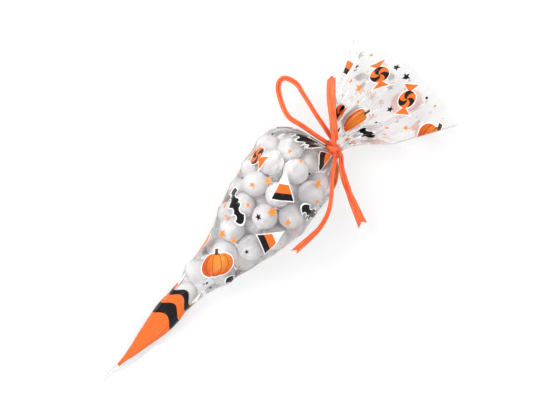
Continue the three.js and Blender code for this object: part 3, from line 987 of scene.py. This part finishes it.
def clear_film(shiny):
    through = Val.node("ShaderNodeBsdfTransparent", Color=neutral(CLARITY))
    if not shiny:
        return through
    haze = Val.node("ShaderNodeBsdfDiffuse", Color=neutral(0.75))
    gloss = Val.node("ShaderNodeBsdfGlossy", Color=neutral(0.96), Roughness=0.16)
    mirror = Val.node("ShaderNodeFresnel", IOR=1.45)
    hazy = Val.node("ShaderNodeMixShader", i0=HAZE, i1=through, i2=haze)
    return Val.node("ShaderNodeMixShader", i0=(mirror * 0.8).clamped(), i1=hazy, i2=gloss)


def film_material(name, strength, shiny):
    material = new_material(name)
    cover, colour = film_print(strength)
    finish = {"Base Color": colour, "Roughness": 0.22, "Specular IOR Level": 0.2}
    ink = Val.node("ShaderNodeBsdfPrincipled", **finish)
    return finish_material(material, Val.node("ShaderNodeMixShader", i0=cover, i1=clear_film(shiny), i2=ink))


FILM_OUTSIDE = film_material("printed_film", 1.0, True)
FILM_INSIDE = film_material("printed_film_back", INSIDE_STRENGTH, False)
print("print nodes:", len(FILM_OUTSIDE.node_tree.nodes))

# %% [markdown]
# ## The film piece
#
# The real bag is two panels with a flat seal down each side. Two grids could be joined, but their seams
# would have to be matched at every pleat. So the film is one grid, folded round until its long edges
# meet in the right-hand seal, and each seal is a narrow grid that stands out from the wall as a margin
# of film on film. A thin Solidify gives the sheet its two skins, with the paler ink inside.

# %% Widths along the sheet, in millimetres
FILM_THICKNESS = 0.06
SEAL_FACES = 4
SEAL_OVERLAP = 0.15
RIPPLE_ROWS = 4
RIPPLE_TURN = 0.35
CLEAR_OF_PRINT = 10

squeeze = np.where(in_body, smoothstep(NECK_START - stations, 0, 14), smoothstep(shares, 0, 0.5))
free_width = np.where(in_body, np.minimum(SEAL_TAPER * stations, SEAL_WIDTH), SEAL_WIDTH)
seal_width = free_width * (SQUEEZED_SEAL + (1 - SQUEEZED_SEAL) * squeeze)
seal_curl = np.where(in_body, profile(BODY_ROWS, stations)[:, 5], 0.2 * (1 - shares))
sheet_run = np.where(in_body, stations, NECK_END + shares * (BAG_LENGTH - NECK_END))
upper = creased_film[:, :AROUND // 2 + 1]
shown_half = np.linalg.norm(np.diff(upper, axis=1), axis=2).sum(axis=1) / 2
flat_half = FLAT_TAPER / 2 * sheet_run
fanned = smoothstep(shares, 0.1, 0.6)
sheet_half = flat_half + (np.minimum(shown_half, flat_half) - flat_half) * fanned
print("widest seal mm", seal_width.max(), "shown half at the rim mm", round(float(sheet_half[-1]), 1))


# %% Film mesh
def place_in_row(point):
    return Vector((point[0] - REST_FROM_TIP, point[1] - REST_SHIFT, point[2])) * MM


def row_of(vert):
    return round((vert.co.y + 1) / 2 * (len(stations) - 1))


def wrap_sheet(shape, sheet):
    """Wraps a flat grid round the film's points, and keeps its flat place."""
    made = bmesh.ops.create_grid(shape, x_segments=AROUND, y_segments=len(stations) - 1, size=1.0)
    flat = {}
    for vert in made["verts"]:
        column, row = round((vert.co.x + 1) / 2 * AROUND), row_of(vert)
        flat[vert] = (column, row)
        vert.co = place_in_row(creased_film[row, column])
    for face in shape.faces:
        columns = [flat[loop.vert][0] for loop in face.loops]
        back = sum(columns) / len(columns) > AROUND / 2
        for loop in face.loops:
            column, row = flat[loop.vert]
            share = column / AROUND * 2 - (1 if back else 0)
            across = (2 * share - 1) * sheet_half[row] + (BACK_PANEL if back else 0)
            loop[sheet].uv = (across * MM, sheet_run[row] * MM)


def face_outward(shape):
    """Turns the sheet over if the face on top of the belly looks down."""
    shape.normal_update()
    belly_top = Vector((BELLY_FROM_TIP - REST_FROM_TIP, 0, BELLY_HEIGHT)) * MM
    top = min(shape.faces, key=lambda face: (face.calc_center_median() - belly_top).length)
    if top.normal.z < 0:
        bmesh.ops.reverse_faces(shape, faces=shape.faces)


def add_seal(shape, sheet, column, side, rng):
    """A margin that stands out from one column of the film and curls and ripples a little."""
    made = bmesh.ops.create_grid(shape, x_segments=SEAL_FACES, y_segments=len(stations) - 1, size=1.0)
    waves = np.arange(0, len(stations), RIPPLE_ROWS)
    turns = rng.uniform(-RIPPLE_TURN, RIPPLE_TURN, len(waves))
    ripple = np.interp(np.arange(len(stations)), waves, turns)
    flat = {}
    for vert in made["verts"]:
        out, row = (vert.co.x + 1) / 2, row_of(vert)
        curl = seal_curl[row] + ripple[row]
        root = creased_film[row, column] - np.array([0, side * SEAL_OVERLAP, 0])
        tip = root + np.array([0, side * math.cos(curl), -math.sin(curl)]) * seal_width[row] * out
        tip[2] = max(tip[2], LEAST_HEIGHT + 0.05)
        vert.co = place_in_row(tip)
        flat[vert] = (out, row)
    for face in {face for vert in made["verts"] for face in vert.link_faces}:
        for loop in face.loops:
            out, row = flat[loop.vert]
            past_print = FLAT_TAPER / 2 * sheet_run[row] + CLEAR_OF_PRINT + out
            loop[sheet].uv = (past_print * MM, sheet_run[row] * MM)


def film_mesh(shape):
    sheet = shape.loops.layers.uv.new("sheet")
    wrap_sheet(shape, sheet)
    face_outward(shape)
    seal_rng = np.random.default_rng(9)
    add_seal(shape, sheet, 0, -1, seal_rng)
    add_seal(shape, sheet, AROUND // 2, 1, seal_rng)
    bmesh.ops.remove_doubles(shape, verts=shape.verts, dist=1e-7)


film = add_piece("film_skin", film_mesh, [FILM_OUTSIDE, FILM_INSIDE], "film_bag")
skins = film.modifiers.new("two_skins", "SOLIDIFY")
skins.thickness = FILM_THICKNESS * MM
skins.offset = -1.0
skins.material_offset = 1
skins.use_rim = False
print("film faces", len(film.data.polygons))

# %% [markdown]
# ## The tie
#
# The ribbon goes round the gathered neck and is knotted on top, so the wrap shows as narrow bunched
# strands side by side, and the knot as a small lump of crossed strands. Tori and a ball would stand for
# them, but raffia bunches into ribs. So one function sweeps a ribbed strand along a path, and it makes
# both the turns round the neck and the bends of the knot.

# %% Places of the strands, in millimetres
# Each turn's place along the bag, its lean and how far it lies off the neck
TURNS = ((-1.1, 0.5, 1.0), (1.0, -0.6, 1.0), (0.1, 0.2, 1.25))
NECK_REACH = 5.35
# Each bend's points from the knot's middle
BENDS = (
    [(-2.6, -3.6, -0.6), (-1.6, -1.6, 1.6), (0.2, 0.2, 2.4), (1.8, 1.8, 1.8), (3.0, 4.0, -0.2)],
    [(2.8, -3.4, -0.4), (1.6, -1.8, 1.2), (0.0, -0.2, 2.0), (-1.4, 1.8, 1.4), (-2.2, 4.2, -0.4)],
    [(-3.2, 0.6, -1.4), (-2.4, 0.2, 1.0), (-0.4, -0.2, 2.6), (1.8, -0.4, 1.6), (3.0, -0.4, -1.2)],
)
# Half the width and half the height of a strand
TURN_SIZE = (1.15, 0.95)
BEND_SIZE = (1.5, 1.1)
STRAND_SIDES = 16
UV_PER_STEP = 0.2


def turn_path(offset, lean, off_neck):
    reach = NECK_REACH + off_neck
    turns = np.linspace(0, 2 * math.pi, 61)
    ring = [(KNOT.x + offset + lean * math.cos(t), KNOT.y + reach * math.sin(t),
             NECK_HEIGHT + reach * math.cos(t)) for t in turns]
    return np.array(ring) * MM


def bend_path(points):
    route = np.array(points)
    fine = np.stack([np.interp(np.linspace(0, 4, 25), np.arange(5), route[:, k]) for k in range(3)], axis=1)
    for _ in range(3):
        fine[1:-1] = (fine[:-2] + fine[1:-1] * 2 + fine[2:]) / 4
    return (fine + np.array(KNOT)) * MM


print("strands:", len(TURNS) + len(BENDS))


# %% Wrap and knot
def swept_strand(shape, strip, path, half_width, half_height, seed):
    """A bunched strand: a ring of points swept along a path, with lengthwise ribs."""
    phase = np.random.default_rng(seed).uniform(0, 6.28)
    made = bmesh.ops.create_grid(shape, x_segments=STRAND_SIDES, y_segments=len(path) - 1, size=1.0)
    tangents = np.gradient(path, axis=0)
    closed = np.linalg.norm(path[0] - path[-1]) < 1e-6
    if closed:
        tangents[0] = tangents[-1] = path[1] - path[-2]
    centre = path.mean(axis=0)
    places = {}
    for vert in made["verts"]:
        turn = (vert.co.x + 1) * math.pi
        row = round((vert.co.y + 1) / 2 * (len(path) - 1))
        places[vert] = (vert.co.x, row)
        tangent = Vector(tangents[row]).normalized()
        outward = Vector(path[row] - centre)
        outward = (outward - tangent * outward.dot(tangent)).normalized()
        side = tangent.cross(outward)
        rib = (1 + 0.14 * math.sin(turn * 5 + phase) + 0.06 * math.sin(turn * 9 + row * 0.3)) * MM
        vert.co = Vector(path[row]) + side * math.cos(turn) * half_width * rib
        vert.co += outward * math.sin(turn) * half_height * rib
    for face in {face for vert in made["verts"] for face in vert.link_faces}:
        for loop in face.loops:
            across, row = places[loop.vert]
            loop[strip].uv = (across * UV_HALF_WIDTH, row * UV_PER_STEP)


def tie_mesh(shape):
    strip = shape.loops.layers.uv.new("strip")
    for number, turn in enumerate(TURNS):
        swept_strand(shape, strip, turn_path(*turn), *TURN_SIZE, 40 + number)
    for number, points in enumerate(BENDS):
        swept_strand(shape, strip, bend_path(points), *BEND_SIZE, 50 + number)
    bmesh.ops.remove_doubles(shape, verts=shape.verts, dist=1e-6)
    bmesh.ops.holes_fill(shape, edges=[edge for edge in shape.edges if edge.is_boundary])
    bmesh.ops.recalc_face_normals(shape, faces=shape.faces)


tie = add_piece("ribbon_tie", tie_mesh, [RAFFIA], "ribbon_knot")
print("tie faces", len(tie.data.polygons))

# %% [markdown]
# ## Table and light
#
# The photograph has a white ground and a soft light from its upper left. More light would bleach the
# sweets, so the ground is white by its own colour instead: to the camera and in reflections the floor
# glows a little under its diffuse share, which keeps a faint shadow of the bag, and the world is plain
# white there and a calmer grey as a light.

# %% Floor
SHADOW_SHARE = 0.3
GLOW_SHARE = 0.65
SKY_LIGHT = 0.62


def seen_directly():
    """1 for what the camera sees, also by reflection or through film, and 0 for light that bounces."""
    rays = Val.node("ShaderNodeLightPath")
    direct = rays.output("Is Camera Ray") + rays.output("Is Glossy Ray") + rays.output("Is Transmission Ray")
    return direct.clamped()


def floor_material():
    material = new_material("white_table")
    white = Val.node("ShaderNodeBsdfDiffuse", Color=neutral(0.86))
    shadowed = Val.node("ShaderNodeBsdfDiffuse", Color=neutral(SHADOW_SHARE))
    glow = Val.node("ShaderNodeEmission", Color=neutral(1.0), Strength=GLOW_SHARE)
    shown = Val.node("ShaderNodeAddShader", i0=shadowed, i1=glow)
    return finish_material(material, Val.node("ShaderNodeMixShader", i0=seen_directly(), i1=white, i2=shown))


floor_mesh = bpy.data.meshes.new("table")
floor_shape = bmesh.new()
bmesh.ops.create_grid(floor_shape, x_segments=1, y_segments=1, size=3.0)
floor_shape.to_mesh(floor_mesh)
floor_shape.free()
floor_mesh.materials.append(floor_material())
table = bpy.data.objects.new("table", floor_mesh)
scene.collection.objects.link(table)
print("table faces", len(floor_mesh.polygons))


# %% Lamps and world
def area_light(name, place, size, power):
    """A square lamp that looks at the origin."""
    data = bpy.data.lights.new(name, "AREA")
    data.size = size
    data.energy = power
    lamp = bpy.data.objects.new(name, data)
    lamp.location = place
    lamp.rotation_mode = "QUATERNION"
    lamp.rotation_quaternion = (-Vector(place)).to_track_quat("-Z", "Y")
    scene.collection.objects.link(lamp)


area_light("key", (-0.1, 0.8, 1.0), 0.6, 11.0)
area_light("fill", (0.9, -0.5, 1.1), 1.2, 8.0)
area_light("tip_side", (-1.0, -0.4, 0.7), 0.5, 4.0)

world = bpy.data.worlds.new("studio")
scene.world = world
world.use_nodes = True
world.node_tree.nodes.clear()
Val.tree = world.node_tree
sky_colour = mix_colour(seen_directly(), neutral(SKY_LIGHT), neutral(1.0))
sky = Val.node("ShaderNodeBackground", Color=sky_colour, Strength=1.0)
Val.node("ShaderNodeOutputWorld", Surface=sky)
print("lamps:", len(bpy.data.lights))
